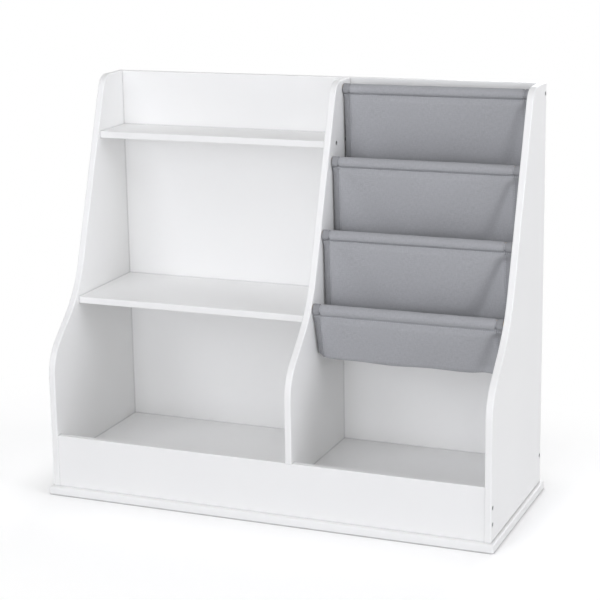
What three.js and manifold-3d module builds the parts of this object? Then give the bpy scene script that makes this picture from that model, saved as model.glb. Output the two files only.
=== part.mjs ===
// Sling bookshelf: a white board cabinet with two shelves over a toy bin on the left, and four cloth
// slings over a second bin on the right. Millimetres, +Z up, the front towards -Y, the origin at the
// middle of the underside.
import * as THREE from 'three';
import { mergeVertices } from 'three/addons/utils/BufferGeometryUtils.js';
import Module from 'manifold-3d';

const wasm = await Module();
wasm.setup();

// Cabinet
const unitWidth = 800; // over the outer faces of the two sides
const unitHeight = 717; // floor to the top of the panels
const panelDepth = 311; // front edge to back edge of a side
const leftBayWidth = 432.5; // between the left side and the divider
const boardThickness = 12;
const baseThickness = 15;
const baseSideOverhang = 6;
const baseFrontOverhang = 8;
const baseBackOverhang = 7;
const backRecess = 1; // back panel in from the sides' back edges

// Front outline of the three upright panels
const shoulderHeight = 251; // floor to where the upright edge and the slope would meet
const shoulderRadius = 82;
const waistHeight = 347; // floor to where the two slopes would meet
const waistSetback = 104.5; // behind the upright front edge
const waistRadius = 210;
const crownDepth = 79; // flat top, back edge to where it would meet the slope
const crownRadius = 30;

// Eased edges
const panelArris = 2;
const baseArris = 2;
const boardArris = 1.2;
const baseCornerRadius = 3;

// Bins and shelves
const frontBoardHeight = 93;
const frontBoardInset = 1.5; // behind the sides' front edges
const leftFloorRise = 47; // top of the base to the top of the left bin's floor
const rightFloorLift = 13; // right bin's floor above the left one
const binBackGap = 35; // behind the right bin's back board
const binBackTuck = 50; // its top edge below the lowest front rod
const upperShelfDrop = 98; // top of the panels to the top of the shelf
const upperShelfInset = 5.5; // behind the panels' sloping edge
const lowerShelfDrop = 9; // waist to the top of the shelf
const lowerShelfInset = 9;

// Sling rack
const tierCount = 4;
const rodRadius = 6;
const rodSocketDepth = 8;
const topRodDrop = 14; // top of the panels to the highest front rod
const topRodSetback = 32; // back panel to the highest front rod
const lowRodRise = 3; // waist to the lowest front rod
const lowRodSetback = 12; // the sloping edge to the lowest front rod
const rodStepShare = 0.315; // a front rod behind the one below it, of the run from lowest to highest
const clothThickness = 1.6;
const sleeveBoreRadius = 8;
const slingEndGap = 1; // cloth to the panel beside it
const rearRodDrop = 28; // front rod to its rear rod, which stands under the front rod of the tier above
const rearSleeveGap = 0.8; // top tier's rear sleeve to the back panel
const pocketTuck = 12; // pocket's bottom below the next front rod
const lowPocketDrop = 93; // the lowest pocket's bottom below its front rod
const pocketBend = 20; // radius at the pocket's bottom
const frontLean = 9; // a front sheet leans back by this on its way down
const lowFrontLean = 20; // the lowest one, drawn back by its short cut
const sheetOffset = 3.5; // the sheet leaves its sleeve this far ahead of or behind the sleeve's middle
const bellyDepth = 4;
const creaseDepth = 3;
const creaseWidth = 22;
const creaseRun = 78; // how far the crease runs in from the side on its way down
const bottomSag = 2;

// Screws and dowels
const screwLength = 38;
const screwShankRadius = 2.5;
const screwHeadRadius = 4;
const screwHeadDepth = 3;
const screwSink = 1.2; // head below the surface
const keyRadius = 1.7;
const keyDepth = 2.2;
const shelfScrewInset = 24; // from the shelf's front and back edges
const backScrewDrop = 18; // top of the panels to the upper screw
const backScrewRise = 50; // top of the base to the lower screw
const baseScrewInset = 38; // from the panels' front and back edges
const frontScrewShares = [0.32, 0.62]; // of the front board's height
const dividerScrewShares = [0.2, 0.88]; // of the back panel's height
const dowelRadius = 3;
const dowelLength = 28;
const dowelSeat = 8; // depth in the upright panel
const frontDowelShares = [0.4, 0.8]; // of the front board's height
const leftDowelShares = [0.2, 0.8]; // of the floor's depth
const rightDowelShares = [0.3, 0.7];
const binBackDowelShare = 0.5; // of the board's height

// Fits
const boreClearance = 0.2; // round a screw, dowel or rod
const rodContactGap = 0.3; // sleeve to the top of its rod
const cutOverrun = 2;

// Facets
const panelArcStep = Math.PI / 40;
const panelArrisSteps = 3;
const arrisSteps = 2;
const boreSides = 8;
const rodSides = 12;
const sleeveSides = 12; // a multiple of four, so that a corner is at the top
const bendSteps = 3;
const frontRows = 4;
const stationShares = [0, 0.05, 0.16, 0.32, 0.5, 0.66, 0.79, 0.88, 0.95, 1];

// Planes that the boards share
const xLeft = -unitWidth / 2;
const xRight = unitWidth / 2;
const xLeftInner = xLeft + boardThickness;
const xRightInner = xRight - boardThickness;
const xDivider = xLeftInner + leftBayWidth;
const xDividerRight = xDivider + boardThickness;
const baseDepth = baseFrontOverhang + panelDepth + baseBackOverhang;
const yFront = -baseDepth / 2 + baseFrontOverhang;
const yBack = yFront + panelDepth;
const yBackFace = yBack - backRecess - boardThickness;
const yBoardFront = yFront + frontBoardInset;
const yBoardBack = yBoardFront + boardThickness;
const zBoardTop = baseThickness + frontBoardHeight;
const zLeftFloor = baseThickness + leftFloorRise;
const zRightFloor = zLeftFloor + rightFloorLift;
const yBinBack = yBackFace - binBackGap - boardThickness;

const xAxis = new THREE.Vector3(1, 0, 0);
const yAxis = new THREE.Vector3(0, 1, 0);
const zAxis = new THREE.Vector3(0, 0, 1);

// A point of an outline; a corner with a radius is rounded.
function corner(across, up, radius = 0, steps = 0) {
  return { at: new THREE.Vector2(across, up), radius, steps };
}

// Swaps each corner that has a radius for an arc, which takes at most half of either edge beside it.
function roundedOutline(corners) {
  const points = [];
  corners.forEach(({ at, radius, steps }, index) => {
    if (!radius) {
      points.push(at.clone());
      return;
    }
    const toPrevious = corners[(index + corners.length - 1) % corners.length].at.clone().sub(at);
    const toNext = corners[(index + 1) % corners.length].at.clone().sub(at);
    const room = Math.min(toPrevious.length(), toNext.length()) / 2;
    toPrevious.normalize();
    toNext.normalize();
    const halfAngle = Math.acos(toPrevious.dot(toNext)) / 2;
    const reach = Math.min(radius / Math.tan(halfAngle), room);
    const towardsCentre = toPrevious.clone().add(toNext).normalize();
    const centre = at.clone().addScaledVector(towardsCentre, reach / Math.cos(halfAngle));
    const sweep = Math.PI - 2 * halfAngle;
    const turn = Math.sign(toPrevious.cross(toNext));
    const arcSteps = steps || Math.ceil(sweep / panelArcStep);
    const start = at.clone().addScaledVector(toPrevious, reach);
    for (let step = 0; step <= arcSteps; step += 1) {
      points.push(start.clone().rotateAround(centre, (-turn * sweep * step) / arcSteps));
    }
  });
  return points;
}

// The upright panels' outline in the YZ plane: up the front edge, over the crown and down the back.
function panelOutline(backEdge) {
  return roundedOutline([
    corner(yFront, baseThickness),
    corner(yFront, shoulderHeight, shoulderRadius),
    corner(yFront + waistSetback, waistHeight, waistRadius),
    corner(yBack - crownDepth, unitHeight, crownRadius),
    corner(backEdge, unitHeight),
    corner(backEdge, baseThickness),
  ]);
}

// Where the panels' front edge is at a height.
function panelFrontAt(height) {
  const outline = panelOutline(yBack);
  const index = outline.findIndex((point, place) => place > 0 && point.y >= height);
  const below = outline[index - 1];
  const above = outline[index];
  return THREE.MathUtils.mapLinear(height, below.y, above.y, below.x, above.x);
}

const zUpperShelf = unitHeight - upperShelfDrop;
const yUpperShelf = panelFrontAt(zUpperShelf) + upperShelfInset;
const zLowerShelf = waistHeight - lowerShelfDrop;
const yLowerShelf = panelFrontAt(zLowerShelf) + lowerShelfInset;

// A three.js geometry as a solid for joining and cutting, and back again.
function solidOf(geometry) {
  const bare = geometry.clone();
  bare.deleteAttribute('normal');
  bare.deleteAttribute('uv');
  const merged = mergeVertices(bare);
  return new wasm.Manifold(new wasm.Mesh({
    numProp: 3,
    vertProperties: merged.attributes.position.array,
    triVerts: new Uint32Array(merged.index.array),
  }));
}

function geometryOf(solid) {
  const { vertProperties, triVerts } = solid.getMesh();
  const geometry = new THREE.BufferGeometry();
  geometry.setAttribute('position', new THREE.BufferAttribute(vertProperties, 3));
  geometry.setIndex(new THREE.BufferAttribute(triVerts, 1));
  geometry.computeVertexNormals();
  return geometry;
}

// Carries an outline in the YZ plane along X, with its two faces' edges rounded by an arris.
function boardAlongX(outline, fromX, toX, arris = 0) {
  const geometry = new THREE.ExtrudeGeometry(new THREE.Shape(outline), {
    depth: toX - fromX - 2 * arris,
    bevelEnabled: arris > 0,
    bevelThickness: arris,
    bevelSize: arris,
    bevelOffset: -arris,
    bevelSegments: panelArrisSteps,
  });
  geometry.translate(0, 0, arris);
  geometry.applyMatrix4(new THREE.Matrix4().makeBasis(yAxis, zAxis, xAxis));
  geometry.translate(fromX, 0, 0);
  return geometry;
}

// A board's rectangle in the YZ plane with the named corners eased.
function boardOutline(fromY, toY, fromZ, toZ, eased) {
  const size = (name) => (eased.includes(name) ? boardArris : 0);
  return roundedOutline([
    corner(fromY, fromZ, size('frontBottom'), arrisSteps),
    corner(fromY, toZ, size('frontTop'), arrisSteps),
    corner(toY, toZ, size('backTop'), arrisSteps),
    corner(toY, fromZ, size('backBottom'), arrisSteps),
  ]);
}

function basePlate() {
  const halfWidth = unitWidth / 2 + baseSideOverhang;
  const halfDepth = baseDepth / 2;
  const outline = roundedOutline([
    corner(-halfWidth, -halfDepth, baseCornerRadius, arrisSteps),
    corner(halfWidth, -halfDepth, baseCornerRadius, arrisSteps),
    corner(halfWidth, halfDepth, baseCornerRadius, arrisSteps),
    corner(-halfWidth, halfDepth, baseCornerRadius, arrisSteps),
  ]);
  const geometry = new THREE.ExtrudeGeometry(new THREE.Shape(outline), {
    depth: baseThickness - 2 * baseArris,
    bevelThickness: baseArris,
    bevelSize: baseArris,
    bevelOffset: -baseArris,
    bevelSegments: arrisSteps,
  });
  return geometry.translate(0, 0, baseArris);
}

// The divider stands over the front board, which runs on unbroken in front of its foot.
function dividerPanel() {
  const panel = solidOf(boardAlongX(panelOutline(yBackFace), xDivider, xDividerRight, panelArris));
  const notch = boardAlongX(
    boardOutline(yFront - cutOverrun, yBoardBack, baseThickness - cutOverrun, zBoardTop, []),
    xDivider - cutOverrun,
    xDividerRight + cutOverrun,
  );
  return geometryOf(panel.subtract(solidOf(notch)));
}

function shelf(frontEdge, top) {
  const outline = boardOutline(frontEdge, yBackFace, top - boardThickness, top, ['frontTop', 'frontBottom']);
  return boardAlongX(outline, xLeftInner, xDivider);
}

function binFloor(fromX, toX, top) {
  return boardAlongX(boardOutline(yBoardBack, yBackFace, top - boardThickness, top, []), fromX, toX);
}

// Each tier of the rack: its front and rear rods in the YZ plane, and its pocket's lowest level.
const zTopRod = unitHeight - topRodDrop;
const yTopRod = yBackFace - topRodSetback;
const zLowRod = waistHeight + lowRodRise;
const yLowRod = panelFrontAt(zLowRod) + lowRodSetback;
const sleeveRadius = sleeveBoreRadius + clothThickness;
const sleeveHang = sleeveBoreRadius - rodRadius - rodContactGap; // sleeve's middle below its rod's
const rodPitch = (zTopRod - zLowRod) / (tierCount - 1);
const frontRodAt = (tiersBelow) => new THREE.Vector2(
  tiersBelow === tierCount - 1 ? yTopRod : THREE.MathUtils.lerp(yLowRod, yTopRod, rodStepShare * tiersBelow),
  zLowRod + rodPitch * tiersBelow,
);
const tiers = Array.from({ length: tierCount }, (_, index) => {
  const tiersBelow = tierCount - 1 - index;
  const isLowest = tiersBelow === 0;
  const front = frontRodAt(tiersBelow);
  const rearPlace = index === 0 ? yBackFace - rearSleeveGap - sleeveRadius : frontRodAt(tiersBelow + 1).x;
  const rear = new THREE.Vector2(rearPlace, front.y - rearRodDrop);
  const bottom = front.y - (isLowest ? lowPocketDrop : rodPitch + pocketTuck);
  return { number: index + 1, front, rear, bottom, lean: isLowest ? lowFrontLean : frontLean };
});

const zBinBackTop = zLowRod - binBackTuck;

// The middle line of a tier's sheet, from under its front sleeve round the pocket to its rear sleeve.
function sheetLine({ front, rear, bottom, lean }) {
  const leave = (rod, offset) => new THREE.Vector2(
    rod.x + offset,
    rod.y - sleeveHang - Math.sqrt(sleeveRadius ** 2 - offset ** 2),
  );
  const top = leave(front, -sheetOffset);
  const end = leave(rear, sheetOffset);
  const turned = roundedOutline([
    corner(top.x, top.y),
    corner(top.x + lean, bottom, pocketBend, bendSteps),
    corner(end.x, bottom, pocketBend, bendSteps),
    corner(end.x, end.y),
  ]);
  const rows = Array.from({ length: frontRows }, (_, row) => (
    turned[0].clone().lerp(turned[1], row / frontRows)
  ));
  return rows.concat(turned.slice(1));
}

// How far the sheet stands out at a place: a soft belly, and a crease from each top corner, the one
// on the right the deeper. Both shares run from 0 to 1, along the width and down the front.
function standOut(widthShare, downShare, slingWidth) {
  const alongSide = Math.sin(Math.PI * widthShare);
  const down = Math.sin(Math.PI * downShare);
  const run = creaseRun * downShare;
  const fromRight = (slingWidth * (1 - widthShare) - run) / creaseWidth;
  const fromLeft = (slingWidth * widthShare - run) / creaseWidth;
  const creases = Math.exp(-(fromRight ** 2)) + Math.exp(-(fromLeft ** 2)) / 2;
  return down * (bellyDepth * alongSide - creaseDepth * creases);
}

// Points round a sleeve's outside, against the clock from one point of its circle to another.
function sleeveArc(centre, from, to) {
  const start = Math.atan2(from.y - centre.y, from.x - centre.x);
  const end = Math.atan2(to.y - centre.y, to.x - centre.x);
  const sweep = THREE.MathUtils.euclideanModulo(end - start, 2 * Math.PI);
  return Array.from({ length: sleeveSides - 1 }, (_, step) => {
    const angle = start + (sweep * (step + 1)) / sleeveSides;
    return new THREE.Vector2(Math.cos(angle), Math.sin(angle)).multiplyScalar(sleeveRadius).add(centre);
  });
}

function boreLoop(centre) {
  return Array.from({ length: sleeveSides }, (_, step) => {
    const angle = (-2 * Math.PI * step) / sleeveSides;
    return new THREE.Vector2(Math.cos(angle), Math.sin(angle)).multiplyScalar(sleeveBoreRadius).add(centre);
  });
}

// One tier's sheet in section at a share of its width: its outline and the bores of its two sleeves.
function slingSection(tier, widthShare, slingWidth) {
  const frontSleeve = tier.front.clone().setY(tier.front.y - sleeveHang);
  const rearSleeve = tier.rear.clone().setY(tier.rear.y - sleeveHang);
  const line = sheetLine(tier);
  const lengths = line.map((point, index) => (index ? point.distanceTo(line[index - 1]) : 0));
  const frontLength = lengths.slice(0, frontRows + bendSteps + 1).reduce((sum, length) => sum + length);
  const outer = [];
  const inner = [];
  let run = 0;
  line.forEach((point, index) => {
    run += lengths[index];
    const before = line[Math.max(index - 1, 0)];
    const after = line[Math.min(index + 1, line.length - 1)];
    const along = after.clone().sub(before).normalize();
    const outwards = new THREE.Vector2(along.y, -along.x);
    const downShare = Math.min(run / frontLength, 1);
    const out = standOut(widthShare, downShare, slingWidth);
    const sag = bottomSag * Math.sin(Math.PI * widthShare) * Math.sin(Math.PI * downShare ** 2 / 2);
    const fromEnd = index === line.length - 1 ? 0 : 1;
    const moved = point.clone().addScaledVector(outwards, out).setY(point.y - sag * fromEnd);
    outer.push(moved.clone().addScaledVector(outwards, clothThickness / 2));
    inner.push(moved.clone().addScaledVector(outwards, -clothThickness / 2));
  });
  const outline = [
    ...outer,
    ...sleeveArc(rearSleeve, outer.at(-1), inner.at(-1)),
    ...inner.toReversed(),
    ...sleeveArc(frontSleeve, inner[0], outer[0]),
  ];
  return [outline, boreLoop(frontSleeve), boreLoop(rearSleeve)];
}

// A closed sheet: the section carried across the bay, with a face at each end.
function slingGeometry(tier) {
  const fromX = xDividerRight + slingEndGap;
  const slingWidth = xRightInner - slingEndGap - fromX;
  const sections = stationShares.map((share) => slingSection(tier, share, slingWidth));
  const positions = sections.flatMap((loops, station) => (
    loops.flat().flatMap((point) => [fromX + slingWidth * stationShares[station], point.x, point.y])
  ));
  const sectionSize = sections[0].flat().length;
  const faces = [];
  for (let station = 0; station + 1 < stationShares.length; station += 1) {
    let first = station * sectionSize;
    sections[0].forEach((loop) => {
      loop.forEach((_, index) => {
        const a = first + index;
        const b = first + ((index + 1) % loop.length);
        faces.push(a, b, a + sectionSize, b, b + sectionSize, a + sectionSize);
      });
      first += loop.length;
    });
  }
  [0, stationShares.length - 1].forEach((station) => {
    const [outline, ...bores] = sections[station];
    const flat = sections[station].flat();
    const start = station * sectionSize;
    THREE.ShapeUtils.triangulateShape(outline.slice(), bores.map((bore) => bore.slice())).forEach(([a, b, c]) => {
      const turn = flat[b].clone().sub(flat[a]).cross(flat[c].clone().sub(flat[a]));
      const facesRight = station > 0;
      faces.push(start + a, ...(turn > 0 === facesRight ? [start + b, start + c] : [start + c, start + b]));
    });
  });
  const geometry = new THREE.BufferGeometry();
  geometry.setAttribute('position', new THREE.Float32BufferAttribute(positions, 3));
  geometry.setIndex(faces);
  geometry.computeVertexNormals();
  return geometry;
}

// A flush screw pointing down from its head at the origin, with a six-sided key hole; the bore for it
// is the same profile grown by a clearance and run on past the surface.
function turned(profile, sides) {
  const points = profile.map(([radius, height]) => new THREE.Vector2(radius, height));
  return new THREE.LatheGeometry(points, sides).rotateX(Math.PI / 2);
}

function screwGeometry() {
  const body = turned([
    [0, -screwLength],
    [screwShankRadius, -screwLength],
    [screwShankRadius, -screwHeadDepth],
    [screwHeadRadius, 0],
    [0, 0],
  ], boreSides);
  const keyHole = turned([
    [0, -keyDepth],
    [keyRadius, -keyDepth],
    [keyRadius, cutOverrun],
    [0, cutOverrun],
  ], 6);
  return geometryOf(solidOf(body).subtract(solidOf(keyHole)));
}

function screwBore() {
  return turned([
    [0, -screwLength - boreClearance],
    [screwShankRadius + boreClearance, -screwLength - boreClearance],
    [screwShankRadius + boreClearance, -screwHeadDepth],
    [screwHeadRadius + boreClearance, 0],
    [screwHeadRadius + boreClearance, cutOverrun],
    [0, cutOverrun],
  ], boreSides);
}

function pin(radius, length, sides) {
  return new THREE.CylinderGeometry(radius, radius, length, sides).rotateX(Math.PI / 2);
}

// The screws: where each head's surface is, and the way that the screw points.
const yPanelMiddle = yBackFace + boardThickness / 2;
const yFrontBoardMiddle = yBoardFront + boardThickness / 2;
const xDividerMiddle = xDivider + boardThickness / 2;
const rightwards = xAxis;
const leftwards = xAxis.clone().negate();
const forwards = yAxis.clone().negate();

function carcassScrews() {
  const screws = [];
  const add = (name, place, towards) => {
    const head = place.clone().addScaledVector(towards, screwSink);
    screws.push({ name, head, towards });
  };
  const sides = [
    { side: 'left', x: xLeft, towards: rightwards, middle: xLeft + boardThickness / 2 },
    { side: 'right', x: xRight, towards: leftwards, middle: xRight - boardThickness / 2 },
  ];
  sides.forEach(({ side, x, towards }) => {
    const heights = [unitHeight - backScrewDrop, baseThickness + backScrewRise];
    heights.forEach((z, index) => {
      add(`screw_${side}_back_${index + 1}`, new THREE.Vector3(x, yPanelMiddle, z), towards);
    });
    frontScrewShares.forEach((share, index) => {
      const z = baseThickness + frontBoardHeight * share;
      add(`screw_${side}_front_${index + 1}`, new THREE.Vector3(x, yFrontBoardMiddle, z), towards);
    });
  });
  const shelves = [
    { shelfName: 'upper', front: yUpperShelf, z: zUpperShelf - boardThickness / 2 },
    { shelfName: 'lower', front: yLowerShelf, z: zLowerShelf - boardThickness / 2 },
  ];
  const shelfHosts = [
    { host: 'left', x: xLeft, towards: rightwards },
    { host: 'divider', x: xDividerRight, towards: leftwards },
  ];
  shelves.forEach(({ shelfName, front, z }) => {
    shelfHosts.forEach(({ host, x, towards }) => {
      [front + shelfScrewInset, yBackFace - shelfScrewInset].forEach((y, index) => {
        add(`screw_${host}_${shelfName}_shelf_${index + 1}`, new THREE.Vector3(x, y, z), towards);
      });
    });
  });
  const uprights = [
    { upright: 'left', x: xLeft + boardThickness / 2, back: yBack },
    { upright: 'divider', x: xDividerMiddle, back: yBackFace },
    { upright: 'right', x: xRight - boardThickness / 2, back: yBack },
  ];
  uprights.forEach(({ upright, x, back }) => {
    [yFront + baseScrewInset, back - baseScrewInset].forEach((y, index) => {
      add(`screw_base_${upright}_${index + 1}`, new THREE.Vector3(x, y, 0), zAxis);
    });
  });
  dividerScrewShares.forEach((share, index) => {
    const z = THREE.MathUtils.lerp(baseThickness, unitHeight, share);
    const place = new THREE.Vector3(xDividerMiddle, yBackFace + boardThickness, z);
    add(`screw_back_divider_${index + 1}`, place, forwards);
  });
  return screws;
}

// The dowels: the upright's face where each one crosses, and the way from there into the other board.
function carcassDowels() {
  const dowels = [];
  const add = (name, face, towards) => {
    const middle = face.clone().addScaledVector(towards, dowelLength / 2 - dowelSeat);
    dowels.push({ name, middle, towards });
  };
  const floors = [
    { name: 'left_floor', shares: leftDowelShares, z: zLeftFloor, fromX: xLeftInner, toX: xDivider },
    { name: 'right_floor', shares: rightDowelShares, z: zRightFloor, fromX: xDividerRight, toX: xRightInner },
  ];
  floors.forEach(({ name, shares, z, fromX, toX }) => {
    shares.forEach((share, index) => {
      const y = THREE.MathUtils.lerp(yBoardBack, yBackFace, share);
      const height = z - boardThickness / 2;
      add(`dowel_${name}_${2 * index + 1}`, new THREE.Vector3(fromX, y, height), rightwards);
      add(`dowel_${name}_${2 * index + 2}`, new THREE.Vector3(toX, y, height), leftwards);
    });
  });
  frontDowelShares.forEach((share, index) => {
    const z = baseThickness + frontBoardHeight * share;
    add(`dowel_front_${index + 1}`, new THREE.Vector3(xDividerMiddle, yBoardBack, z), yAxis);
  });
  const zMiddle = THREE.MathUtils.lerp(zRightFloor, zBinBackTop, binBackDowelShare);
  const yMiddle = yBinBack + boardThickness / 2;
  add('dowel_bin_back_1', new THREE.Vector3(xDividerRight, yMiddle, zMiddle), rightwards);
  add('dowel_bin_back_2', new THREE.Vector3(xRightInner, yMiddle, zMiddle), leftwards);
  return dowels;
}

// The rods: from a socket in the divider to one in the right side.
function rackRods() {
  const x = (xDividerRight + xRightInner) / 2;
  return tiers.flatMap(({ number, front, rear }) => [
    { name: `rod_front_${number}`, middle: new THREE.Vector3(x, front.x, front.y) },
    { name: `rod_rear_${number}`, middle: new THREE.Vector3(x, rear.x, rear.y) },
  ]);
}

// Turns a piece modelled along Z so that its -Z end points the given way.
function placed(object, place, towards) {
  object.position.copy(place);
  object.quaternion.setFromUnitVectors(zAxis.clone().negate(), towards);
  object.updateMatrix();
  return object;
}

const screws = carcassScrews();
const dowels = carcassDowels();
const rods = rackRods();
const rodLength = xRightInner - xDividerRight + 2 * rodSocketDepth;

// Everything that is bored into the boards, as one solid.
function allBores() {
  const bores = [];
  const bore = (geometry, place, towards) => {
    const { matrix } = placed(new THREE.Object3D(), place, towards);
    bores.push(solidOf(geometry.clone().applyMatrix4(matrix)));
  };
  const screwHole = screwBore();
  const dowelHole = pin(dowelRadius + boreClearance, dowelLength + 2 * boreClearance, boreSides);
  const rodHole = pin(rodRadius + boreClearance, rodLength + 2 * boreClearance, rodSides);
  screws.forEach(({ head, towards }) => bore(screwHole, head, towards));
  dowels.forEach(({ middle, towards }) => bore(dowelHole, middle, towards));
  rods.forEach(({ middle }) => bore(rodHole, middle, rightwards));
  return wasm.Manifold.union(bores);
}

const finishes = {
  lacquer: { color: 0xf0f1f2, roughness: 0.5, metalness: 0 },
  cloth: { color: 0x96979c, roughness: 0.95, metalness: 0 },
  timber: { color: 0xd8bc90, roughness: 0.7, metalness: 0 },
  zinc: { color: 0xb4b7bb, roughness: 0.4, metalness: 0.9 },
};

function mesh(name, geometry, finish) {
  const part = new THREE.Mesh(geometry, new THREE.MeshStandardMaterial(finish));
  part.name = name;
  return part;
}

function carcass() {
  const bores = allBores();
  const sideOutline = panelOutline(yBack);
  const backOutline = boardOutline(
    yBackFace, yBackFace + boardThickness, baseThickness, unitHeight, ['frontTop', 'backTop'],
  );
  const frontOutline = boardOutline(
    yBoardFront, yBoardBack, baseThickness, zBoardTop, ['frontTop', 'backTop'],
  );
  const binBackOutline = boardOutline(
    yBinBack, yBinBack + boardThickness, zRightFloor, zBinBackTop, ['frontTop', 'backTop'],
  );
  const boards = {
    base_plate: basePlate(),
    side_left: boardAlongX(sideOutline, xLeft, xLeftInner, panelArris),
    side_right: boardAlongX(sideOutline, xRightInner, xRight, panelArris),
    divider: dividerPanel(),
    back_panel: boardAlongX(backOutline, xLeftInner, xRightInner),
    front_board: boardAlongX(frontOutline, xLeftInner, xRightInner),
    bin_floor_left: binFloor(xLeftInner, xDivider, zLeftFloor),
    bin_floor_right: binFloor(xDividerRight, xRightInner, zRightFloor),
    bin_back_right: boardAlongX(binBackOutline, xDividerRight, xRightInner),
    shelf_upper: shelf(yUpperShelf, zUpperShelf),
    shelf_lower: shelf(yLowerShelf, zLowerShelf),
  };
  const group = new THREE.Group();
  Object.entries(boards).forEach(([name, geometry]) => {
    group.add(mesh(name, geometryOf(solidOf(geometry).subtract(bores)), finishes.lacquer));
  });
  return group;
}

function fasteners() {
  const group = new THREE.Group();
  const screwShape = screwGeometry();
  const dowelShape = pin(dowelRadius, dowelLength, boreSides);
  screws.forEach(({ name, head, towards }) => {
    group.add(placed(mesh(name, screwShape, finishes.zinc), head, towards));
  });
  dowels.forEach(({ name, middle, towards }) => {
    group.add(placed(mesh(name, dowelShape, finishes.timber), middle, towards));
  });
  return group;
}

function rack() {
  const group = new THREE.Group();
  const rodShape = pin(rodRadius, rodLength, rodSides);
  rods.forEach(({ name, middle }) => {
    group.add(placed(mesh(name, rodShape, finishes.timber), middle, rightwards));
  });
  tiers.forEach((tier) => {
    group.add(mesh(`sling_${tier.number}`, slingGeometry(tier), finishes.cloth));
  });
  return group;
}

const bookshelf = new THREE.Group();
bookshelf.add(carcass(), rack(), fasteners());

export default bookshelf;
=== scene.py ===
"""Looks of a low bookshelf for children: lacquered boards, turned rods and four cloth slings.

The classes hold their sizes in millimetres, and the meshes are in metres. X runs to the right, Y into
the depth and Z up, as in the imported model, whose boxes say where each board and rod is.
"""

import logging
import math
from collections.abc import Sequence
from dataclasses import dataclass, field
from enum import Enum

import bpy
import numpy as np
from mathutils import Matrix, Vector


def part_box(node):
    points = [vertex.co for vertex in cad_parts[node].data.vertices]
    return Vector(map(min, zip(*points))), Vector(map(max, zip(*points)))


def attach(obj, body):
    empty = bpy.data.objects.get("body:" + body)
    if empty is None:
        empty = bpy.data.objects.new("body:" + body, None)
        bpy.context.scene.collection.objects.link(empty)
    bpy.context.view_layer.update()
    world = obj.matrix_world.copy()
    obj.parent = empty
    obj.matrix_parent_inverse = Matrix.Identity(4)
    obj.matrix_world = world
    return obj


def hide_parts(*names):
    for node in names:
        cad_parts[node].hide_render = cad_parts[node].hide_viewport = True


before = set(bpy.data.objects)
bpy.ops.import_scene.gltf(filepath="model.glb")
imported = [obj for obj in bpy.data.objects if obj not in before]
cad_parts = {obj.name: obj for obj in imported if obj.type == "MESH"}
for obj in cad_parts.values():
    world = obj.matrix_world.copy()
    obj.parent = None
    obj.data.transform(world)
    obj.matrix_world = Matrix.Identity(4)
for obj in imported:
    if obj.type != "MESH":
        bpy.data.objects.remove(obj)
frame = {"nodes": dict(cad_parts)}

log = logging.getLogger("bookshelf")

METRES = 0.001  # one millimetre
ONE_BAND = math.pi / 10  # the wave node's scale at which its bands are one unit wide
ROOT = "root"

RING_POINTS = 60  # of a sleeve's round part
CURVE_POINTS = 14  # of each curve that joins it to the seam
BEND_POINTS = 16  # of a pocket's rounded corner
PATH_STEP = 0.5  # millimetres between the points of a sling's middle line
SOFT_POINTS = 9  # how many of them a softened one is the mean of
CLOSE_BY = 0.4  # millimetres to each side between which a direction on the cloth is read off
SAME_PLACE = 1e-6  # millimetres between two points that count as one
THREAD_SIDES = 6

Array = np.ndarray
Colour = tuple[float, float, float, float]

DOWN = np.array([0.0, -1.0])  # in the section, as (depth, height)
# the grid's close lines in millimetres: from a side edge, from a hem's stitches and from a sleeve's
EDGE_LINES = np.array([1.5, 3, 5, 7])
HEM_LINES = np.array([-3, -1.8, -1, -0.4, 0.4, 1, 1.8, 3, 5])
SEAM_LINES = np.array([-3.5, -2.2, -1.3, -0.6, 0, 0.6, 1.3, 2.2, 3.5])
CLEAR_OF_LINES = 0.9  # an even line nearer to a close one than this is left out
THREAD_RINGS = np.array([-0.92, -0.6, 0.0, 0.6, 0.92])  # shares of half a stitch


# Colours and nodes


def linear(hex_colour: str) -> Colour:
    """Turns an sRGB hex colour to linear light.

    Args:
        hex_colour: six hex digits after a hash mark.

    Returns:
        Red, green and blue in linear light, and an alpha of one.
    """
    shares = [int(hex_colour[at : at + 2], 16) / 255 for at in (1, 3, 5)]
    light = [c / 12.92 if c <= 0.04045 else ((c + 0.055) / 1.055) ** 2.4 for c in shares]
    return (*light, 1.0)


def add_node(tree: bpy.types.NodeTree, kind: str, inputs: dict | None = None, **settings) -> bpy.types.Node:
    """Adds one shader node with its settings, and sets or links its inputs.

    Args:
        tree: the node tree that gets it.
        kind: the node's type name without its ShaderNode.
        inputs: by input name or number, a value, or the node or output that feeds it. A node feeds it
            from its first output.
        **settings: the node's own properties.

    Returns:
        The new node.
    """
    node = tree.nodes.new(f"ShaderNode{kind}")
    for name, value in settings.items():
        setattr(node, name, value)
    for name, value in (inputs or {}).items():
        if isinstance(value, bpy.types.Node):
            value = value.outputs[0]
        if isinstance(value, bpy.types.NodeSocket):
            tree.links.new(value, node.inputs[name])
        else:
            node.inputs[name].default_value = value
    return node


def new_material(name: str) -> tuple[bpy.types.Material, bpy.types.NodeTree]:
    """Makes an empty node material.

    Args:
        name: what the finish is called.

    Returns:
        The material and its cleared node tree.
    """
    material = bpy.data.materials.new(name)
    material.use_nodes = True
    material.node_tree.nodes.clear()
    return material, material.node_tree


# Finishes


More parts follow.
